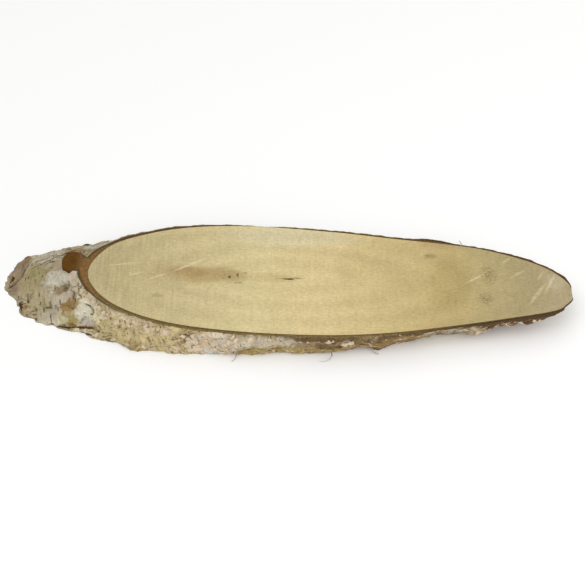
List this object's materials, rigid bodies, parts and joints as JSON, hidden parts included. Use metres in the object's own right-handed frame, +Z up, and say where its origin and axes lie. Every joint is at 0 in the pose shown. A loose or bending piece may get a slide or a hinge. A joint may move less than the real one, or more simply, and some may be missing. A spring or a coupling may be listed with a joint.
{
  "type": "wood slice",
  "caption": "Long oval slice of a birch log, sawn flat on both faces on a slant, with its bark left on all round.",
  "frame": {"origin": "middle of the footprint, on the surface that the slice lies on", "axes": "+X along the oval towards the undercut end, +Y away from the near long edge, +Z up through the thickness"},
  "size_m": [0.3939, 0.113, 0.018],
  "materials": {
    "sawn_wood": "dry sawn birch, unfinished",
    "inner_bark": "dark fibrous cut bark",
    "outer_bark": "rough flaking birch bark"
  },
  "bodies": {
    "root": {"birch_slice": "sawn_wood"}
  },
  "joints": []
}
